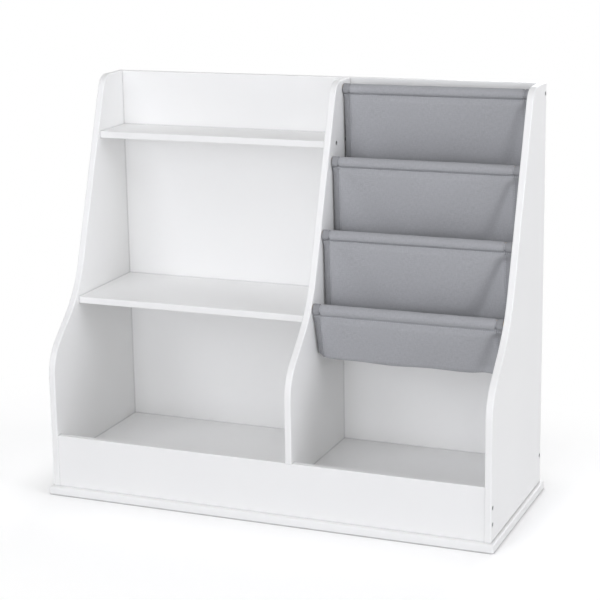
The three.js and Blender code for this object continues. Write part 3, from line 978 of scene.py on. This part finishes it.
    def surface(self, across: Array, along: Array, offset: Array) -> Array:
        """Points of the hanging cloth.

        The middle line's point at a length along the cloth is moved along the line's outward normal by
        the cloth's swelling there and the offset of the face. Near the bottom it is drawn up at the
        left corner and let down at the right one, both fading inwards as e to the power of minus the
        distance, and it sags in the middle. The front sheet's edges are drawn inwards the same way.

        Args:
            across: millimetres from the cloth's left edge.
            along: millimetres along the section.
            offset: millimetres outwards from the middle of the cloth.

        Returns:
            The points, in millimetres, with one more axis than the arguments.
        """
        crease, spot = self.creases, self.spot(across, along)
        slope = unit(np.gradient(self.path, self.lengths, axis=0))
        turn = unit(read_off(slope, self.lengths, along))
        out = np.stack([turn[..., 1], -turn[..., 0]], axis=-1)
        swell = self.folds(spot) + self.hems(spot) + self.sleeve_seams(spot) + self.ripples(spot)
        placed = read_off(self.path, self.lengths, along) + out * (swell + offset)[..., None]
        left_reach, right_reach = crease.corner_reach
        corners = np.exp(-across / left_reach) - crease.right_corner * np.exp(-spot.right / right_reach)
        lift = crease.corner_lift * corners - crease.sag * spot.bow
        placed[..., 1] += lift * bell(along - self.bottom_at, crease.bottom_reach)
        drawn = np.exp(-across / crease.draw_reach) - np.exp(-spot.right / crease.draw_reach)
        sideways = self.from_x + across + crease.draw * drawn * spot.on_front
        return np.concatenate([sideways[..., None], placed], axis=-1)

    def stations(self) -> tuple[Array, Array]:
        """Where the cloth's grid has its lines: close at the stitches, wide and even elsewhere.

        Returns:
            Their places across and along, in millimetres.
        """
        left = np.concatenate([EDGE_LINES, self.hem_width + HEM_LINES])
        middle = np.linspace(left[-1], self.width - left[-1], self.grid_columns)[1:-1]
        across = np.concatenate([left, middle, (self.width - left)[::-1]])
        end = self.lengths[-1]
        plain = np.arange(0, end, self.grid_step)
        marks = np.concatenate([seam + SEAM_LINES for seam in self.seams()])
        clear = np.min(np.abs(plain[:, None] - marks[None, :]), axis=1) > CLEAR_OF_LINES
        along = np.concatenate([plain[clear], marks, [0, end]])
        return across, np.unique(np.clip(along, 0, end))

    def section(self, across: Array, along: Array) -> tuple[Array, Array]:
        """The flat tube round the cloth's two faces.

        The outer face runs from left to right and the inner one back; each side edge is a half circle
        as wide as the cloth is thick there: its middle plus radius times (cosine, sine).

        Args:
            across: the grid's lines over the width.
            along: the grid's lines along the cloth.

        Returns:
            For each line along and each point round the tube, its place across and its offset outwards.
        """
        half = self.thickness / 2
        edge = np.minimum(across, self.width - across)
        full, gone = (self.hem_width + past for past in self.hem_end)
        hem = self.hem_thickness * (1 - smooth_step(edge, full, gone))
        pressed = sum(bell(along - seam, self.press_reach) for seam in self.seams())
        hem_along = (1 - self.hem_pressed * np.clip(pressed, 0, 1))[:, None]
        end_inner = -(half + self.hem_thickness * hem_along)
        middle = (half + end_inner) / 2
        radius = (half - end_inner) / 2
        turn = np.linspace(np.pi / 2, -np.pi / 2, self.edge_points)[None, 1:-1]
        right_x = self.width - radius + radius * np.cos(turn)
        left_x = radius - radius * np.cos(turn)
        around = middle + radius * np.sin(turn)
        wide = np.ones((len(along), 1)) * across
        outer = np.full_like(wide, half)
        inner = -(half + hem[None, :] * hem_along)
        placed = np.concatenate([wide, right_x, wide[:, ::-1], left_x[:, ::-1]], axis=1)
        offset = np.concatenate([outer, around, inner[:, ::-1], around[:, ::-1]], axis=1)
        return placed, offset

    def cloth(self, material: bpy.types.Material) -> bpy.types.Object:
        """Builds the cloth as one closed tube with a strip of faces across each end.

        Args:
            material: the cloth's finish.

        Returns:
            The piece.
        """
        across, along = self.stations()
        placed, offset = self.section(across, along)
        rows, round_count = placed.shape
        lengths = np.repeat(along[:, None], round_count, axis=1)
        points = self.surface(placed, lengths, offset).reshape(-1, 3)
        number = np.arange(rows * round_count).reshape(rows, round_count)
        following = np.roll(number, -1, axis=1)
        quads = np.stack([number[:-1], number[1:], following[1:], following[:-1]], axis=-1).reshape(-1, 4)
        wide = len(across)
        fold = (round_count - 2 * wide) // 2
        outer = np.arange(wide)
        inner = wide + fold + (wide - 1 - outer)
        strip = np.stack([outer[:-1], outer[1:], inner[1:], inner[:-1]], axis=-1)
        right_fold = [wide - 1, *range(wide, wide + fold), wide + fold]
        left_fold = [inner[0], *range(2 * wide + fold, 2 * wide + 2 * fold), 0]
        last = (rows - 1) * round_count
        faces = quads.tolist()
        faces += strip.tolist() + [right_fold, left_fold]
        faces += (strip[:, ::-1] + last).tolist()
        faces += [(np.array(side)[::-1] + last).tolist() for side in (right_fold, left_fold)]
        flat = np.column_stack([placed.ravel(), lengths.ravel()])
        return mesh_object(f"sling_cloth_{self.number}", points, faces, material, flat)

    def stitch_rows(self) -> tuple[Array, Array, Array]:
        """Where the stitches lie: in rows along both sleeves' seams and both hems.

        Returns:
            Their middles across and along, and whether each runs across.
        """
        pitch, margin = self.stitch_pitch, self.stitch_margin
        over = np.arange(margin, self.width - margin, pitch)
        rows = [
            (over, np.full_like(over, seam + self.stitch_below), np.ones_like(over)) for seam in self.seams()
        ]
        down_sheet = np.arange(self.seam_at + margin, self.rear_seam_at - margin, pitch)
        begin, end = self.stitch_over
        over_sleeve = np.arange(self.seam_at - begin, self.seam_at - end, pitch)
        for side in (self.hem_width, self.width - self.hem_width):
            for run in (down_sheet, over_sleeve):
                rows.append((np.full_like(run, side), run, np.zeros_like(run)))
        across, along, runs_across = (np.concatenate(column) for column in zip(*rows))
        return across, along, runs_across

    def stitches(self, material: bpy.types.Material) -> bpy.types.Object:
        """Builds all the sling's stitches as one piece.

        A stitch is a thread's arc: rings of six points, whose radius is the thread's times the square
        root of one minus the square of the share along, and whose height over the cloth is an arch,
        one minus the square of that share. Its three axes are the cloth's own directions there, read
        off between two places close by.

        Args:
            material: the stitches' finish.

        Returns:
            The piece.
        """
        across, along, runs_across = self.stitch_rows()
        outer = np.full_like(across, self.thickness / 2)
        near = CLOSE_BY
        place = self.surface(across, along, outer)
        sideways = unit(self.surface(across + near, along, outer) - self.surface(across - near, along, outer))
        onwards = unit(self.surface(across, along + near, outer) - self.surface(across, along - near, outer))
        out = unit(np.cross(onwards, sideways))
        way = np.where(runs_across[:, None] > 0, sideways, onwards)
        axes = np.stack([way, np.cross(out, way), out], axis=1)
        turn = np.arange(THREAD_SIDES) * 2 * np.pi / THREAD_SIDES
        share = THREAD_RINGS[:, None]
        radius = self.thread_radius * np.sqrt(1 - share**2)
        arch = self.stitch_arch * (1 - share**2) - self.stitch_sunk
        end = self.stitch_length / 2
        local = np.stack(
            [share * end + 0 * turn, radius * np.cos(turn), radius * np.sin(turn) + arch], axis=-1
        ).reshape(-1, 3)
        local = np.vstack([local, [[-end, 0, -self.stitch_sunk], [end, 0, -self.stitch_sunk]]])
        points = place[:, None, :] + np.einsum("tk,nkc->ntc", local, axes)
        count = THREAD_SIDES * len(THREAD_RINGS)
        ring = np.arange(count).reshape(-1, THREAD_SIDES)
        after = np.roll(ring, -1, axis=1)
        body = np.stack([ring[:-1], ring[1:], after[1:], after[:-1]], axis=-1).reshape(-1, 4)
        tip = np.full(THREAD_SIDES, count)
        caps = np.vstack(
            [np.column_stack([tip, ring[0], after[0]]), np.column_stack([tip + 1, after[-1], ring[-1]])]
        )
        starts = len(local) * np.arange(len(place))[:, None, None]
        faces = (body + starts).reshape(-1, 4).tolist() + (caps + starts).reshape(-1, 3).tolist()
        return mesh_object(f"sling_stitches_{self.number}", points.reshape(-1, 3), faces, material)

    def build(self, canvas: bpy.types.Material, thread: bpy.types.Material) -> None:
        """Args:
            canvas: the cloth's finish.
            thread: the stitches' finish.
        """
        cloth = self.cloth(canvas)
        stitches = self.stitches(thread)
        for piece in (cloth, stitches):
            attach(piece, ROOT)
        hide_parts(f"sling_{self.number}")


@dataclass
class SlingRack:
    """The four pockets, from the top down, with the way each one hangs, in millimetres."""

    drop_past_next_rod: float = 12.0
    low_drop: float = 91.4
    lean: float = 6.0
    low_lean: float = 20.0
    low_seam_drop: float = 11.2
    creases: tuple[Creases, ...] = (
        Creases(2.0, 6.4, 0.6, right_run=24, left_run=60, corner_lift=0.5, pinch=0.6),
        Creases(2.2, 7.2, 1.8, right_run=44, left_run=80, corner_lift=0.5, pinch=0.8),
        Creases(2.2, 9.0, 1.8, right_run=48, left_run=80, corner_lift=0.5, pinch=1.6),
        Creases(2.0, 9.0, 1.2, right_run=24, left_run=50, corner_lift=3.8, pinch=3.0),
    )

    def build(self, canvas: bpy.types.Material, thread: bpy.types.Material) -> None:
        """Hangs each sling: its bottom lies below the next front rod, the lowest by its own cut.

        Args:
            canvas: the cloth's finish.
            thread: the stitches' finish.
        """
        rods = [box_mm(f"rod_front_{number}") for number in range(1, len(self.creases) + 1)]
        levels = [float(low[2] + high[2]) / 2 for low, high in rods]
        bottoms = [level - self.drop_past_next_rod for level in levels[1:]]
        for number, (crease, bottom) in enumerate(zip(self.creases, bottoms), 1):
            Sling(number, crease, bottom, self.lean).build(canvas, thread)
        low = levels[-1] - self.low_drop
        lowest = Sling(len(levels), self.creases[-1], low, self.low_lean, seam_drop=self.low_seam_drop)
        lowest.build(canvas, thread)


# The boards, rods and screws


@dataclass
class Carcass:
    """The boards, rods, dowels and screws, whose solids come from the CAD and keep their shape."""

    nodes: dict[str, bpy.types.Object]
    finishes: dict[Finish, bpy.types.Material]

    def finish_of(self, name: str) -> Finish:
        """Which finish a CAD node has, by what it is called."""
        starts = {"screw": Finish.ZINC, "dowel": Finish.DOWEL, "rod": Finish.ROD, "sling": Finish.CANVAS}
        return next((finish for start, finish in starts.items() if name.startswith(start)), Finish.LACQUER)

    def dress(self) -> None:
        """Gives every CAD node its finish."""
        for name, node in sorted(self.nodes.items()):
            finish = self.finish_of(name)
            material = self.finishes[finish]
            node.data.materials.clear()
            node.data.materials.append(material)
            log.info("%s: %s", name, material.name)


# The studio


@dataclass
class Studio:
    """A white paper sweep under large soft lamps, and the camera at the photograph's place."""

    floor_size: float = 12.0
    shadow_reach: tuple[float, float] = (0.56, 0.34)  # half the floor's shadowed oval, across and deep
    floor_lift: float = 0.46  # what the camera sees on top of the light on the floor near the object
    shade_reach: float = 0.11  # the object's soft shade on the floor
    contact_shadow_reach: float = 0.006  # the painted contact shadow line where the object stands on the floor
    # the darkest share of the paper's tone under the painted contact shadow
    contact_shadow_tone: float = 0.70
    paper_tones: tuple[float, float] = (0.79, 0.81)
    paper_patches: float = 3.0  # how many a metre
    ambient: float = 0.28
    lamp_aim: float = 0.35  # how high the lamps point
    position: tuple[float, float, float] = (1.1289, -2.7571, 1.0947)
    yaw: float = 0.4128
    pitch: float = -0.2370
    roll: float = -0.0225
    focal_px: float = 1782.3
    centre_px: tuple[float, float] = (250.4, 285.9)
    image_px: float = 600.0
    sensor: float = 36.0
    daylight: tuple[float, float, float] = (0.982, 0.99, 1.036)  # the lamps' slightly cool white
    bounce: tuple[float, float, float] = (1.0, 0.993, 0.965)  # the room's own light, a little warmer

    def camera(self) -> bpy.types.Object:
        """Places the camera: looking along yaw and pitch, then turned by roll about its own line.

        Returns:
            The camera.
        """
        forward = Vector(
            (
                -math.sin(self.yaw) * math.cos(self.pitch),
                math.cos(self.yaw) * math.cos(self.pitch),
                math.sin(self.pitch),
            )
        )
        level = forward.cross(Vector((0, 0, 1))).normalized()
        above = level.cross(forward)
        right = level * math.cos(self.roll) + above * math.sin(self.roll)
        up = above * math.cos(self.roll) - level * math.sin(self.roll)
        data = bpy.data.cameras.new("camera")
        data.sensor_fit = "HORIZONTAL"
        data.sensor_width = self.sensor
        data.lens = self.focal_px / self.image_px * self.sensor
        data.shift_x = 0.5 - self.centre_px[0] / self.image_px
        data.shift_y = self.centre_px[1] / self.image_px - 0.5
        data.clip_end = 100.0
        camera = bpy.data.objects.new("camera", data)
        bpy.context.scene.collection.objects.link(camera)
        axes = Matrix((right, up, -forward)).transposed().to_4x4()
        camera.matrix_world = Matrix.Translation(self.position) @ axes
        bpy.context.scene.camera = camera
        return camera

    def lamp(self, name: str, place: Sequence[float], size: float, power: float) -> bpy.types.Object:
        """Adds a square soft lamp that faces the object.

        Args:
            name: the lamp's name.
            place: where it stands, in metres.
            size: its side, in metres.
            power: its power, in watts.

        Returns:
            The lamp.
        """
        data = bpy.data.lights.new(name, "AREA")
        data.shape = "SQUARE"
        data.size = size
        data.energy = power
        data.color = self.daylight
        lamp = bpy.data.objects.new(name, data)
        bpy.context.scene.collection.objects.link(lamp)
        lamp.location = place
        way = Vector((0, 0, self.lamp_aim)) - Vector(place)
        lamp.rotation_euler = way.to_track_quat("-Z", "Y").to_euler()
        return lamp

    def floor(self) -> bpy.types.Object:
        """Lays the paper floor, which the camera sees brighter than it is lit, and plain white far away.

        The lift counts only what the camera sees directly, so the floor lights the object as plain
        paper does. The object's painted soft shade and its painted contact shadow line are shares of the open
        view.

        Returns:
            The floor.
        """
        half = self.floor_size / 2
        mesh = bpy.data.meshes.new("floor")
        corners = [(-half, -half, 0), (half, -half, 0), (half, half, 0), (-half, half, 0)]
        mesh.from_pydata(corners, [], [(0, 1, 2, 3)])
        floor = bpy.data.objects.new("floor", mesh)
        bpy.context.scene.collection.objects.link(floor)
        material, tree = new_material("white_paper_sweep")
        seen = self.seen_directly(tree)
        place = add_node(tree, "TexCoord").outputs["Object"]
        across, deep = self.shadow_reach
        reach = add_node(tree, "Mapping", {"Vector": place, "Scale": (1 / across, 1 / deep, 0.0)})
        distance = add_node(tree, "VectorMath", {0: reach}, operation="LENGTH").outputs["Value"]
        away = add_node(
            tree,
            "MapRange",
            {"Value": distance, "From Min": 1.0, "From Max": 2.0},
            interpolation_type="SMOOTHSTEP",
        )
        plain = add_node(tree, "Math", {0: seen, 1: away}, operation="MULTIPLY")
        shade = add_node(tree, "AmbientOcclusion", {"Distance": self.shade_reach}).outputs["AO"]
        contact_shadow_ao = add_node(tree, "AmbientOcclusion", {"Distance": self.contact_shadow_reach}).outputs["AO"]
        lifted = add_node(tree, "Math", {0: shade, 1: self.floor_lift}, operation="MULTIPLY")
        lift = add_node(tree, "Math", {0: seen, 1: lifted}, operation="MULTIPLY")
        pulp = add_node(tree, "TexNoise", {"Vector": place, "Scale": self.paper_patches, "Detail": 2.0})
        darkest, lightest = self.paper_tones
        tone = add_node(tree, "MapRange", {"Value": pulp, "To Min": darkest, "To Max": lightest})
        # painted contact shadow: the paper's tone is darkened where the object closes in on the view
        dark = add_node(tree, "MapRange", {"Value": contact_shadow_ao, "From Min": 0.5, "To Min": self.contact_shadow_tone})
        shaded = add_node(tree, "Math", {0: tone, 1: dark}, operation="MULTIPLY")
        paper = add_node(tree, "BsdfDiffuse", {"Color": shaded})
        glow = add_node(tree, "Emission", {"Color": (1, 1, 1, 1), "Strength": lift})
        near = add_node(tree, "AddShader", {0: paper, 1: glow})
        white = add_node(tree, "Emission", {"Color": (1, 1, 1, 1), "Strength": 1.0})
        both = add_node(tree, "MixShader", {0: plain, 1: near, 2: white})
        add_node(tree, "OutputMaterial", {"Surface": both})
        mesh.materials.append(material)
        return floor

    def seen_directly(self, tree: bpy.types.NodeTree) -> bpy.types.Node:
        """One for rays from the camera and for those that it sees mirrored or through glass, else zero.

        Args:
            tree: the node tree of the floor or the world.

        Returns:
            The node that gives the number.
        """
        path = add_node(tree, "LightPath")
        seen = path.outputs["Is Camera Ray"]
        for other in ("Is Glossy Ray", "Is Transmission Ray"):
            seen = add_node(tree, "Math", {0: seen, 1: path.outputs[other]}, operation="MAXIMUM")
        return seen

    def world(self) -> None:
        """Surrounds the scene with even light, which the camera sees as plain white."""
        world = bpy.data.worlds.new("studio")
        world.use_nodes = True
        tree = world.node_tree
        tree.nodes.clear()
        seen = self.seen_directly(tree)
        strength = add_node(tree, "MapRange", {"Value": seen, "To Min": self.ambient, "To Max": 1.0})
        tint = add_node(
            tree, "Mix", {0: seen, 6: (*self.bounce, 1.0), 7: (1.0, 1.0, 1.0, 1.0)}, data_type="RGBA"
        ).outputs[2]
        background = add_node(tree, "Background", {"Color": tint, "Strength": strength})
        add_node(tree, "OutputWorld", {"Surface": background})
        bpy.context.scene.world = world

    def build(self) -> None:
        """Sets up the camera, the floor, the lamps, the world and the plain view transform."""
        self.camera()
        self.floor()
        self.world()
        self.lamp("front", (0.0, -6.4, 1.0), 2.4, 95.0)
        self.lamp("front_left", (-3.0, -5.6, 3.4), 2.4, 73.0)
        self.lamp("front_right", (3.6, -5.2, 2.0), 2.4, 24.0)
        self.lamp("right", (6.0, -0.6, 2.0), 2.4, 124.0)
        self.lamp("above", (0.0, -3.4, 5.5), 3.0, 60.0)
        self.lamp("behind", (0.0, 5.5, 2.0), 3.0, 110.0)
        bpy.context.scene.view_settings.view_transform = "Standard"
        log.info("studio: camera, floor, lamps and world")


def main() -> None:
    """Builds the studio, dresses the CAD's solids and hangs the slings."""
    logging.basicConfig(level=logging.INFO, format="%(name)s: %(message)s")
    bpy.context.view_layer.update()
    Studio().build()
    beech = TurnedBeech().make()
    canvas = WovenCanvas().make()
    finishes = {
        Finish.LACQUER: LacqueredBoard().make(),
        Finish.CANVAS: canvas,
        Finish.ROD: beech,
        Finish.DOWEL: beech,
        Finish.ZINC: DarkZinc().make(),
    }
    Carcass(frame["nodes"], finishes).dress()
    SlingRack().build(canvas, SpunThread().make())


if __name__ == "__main__":
    main()
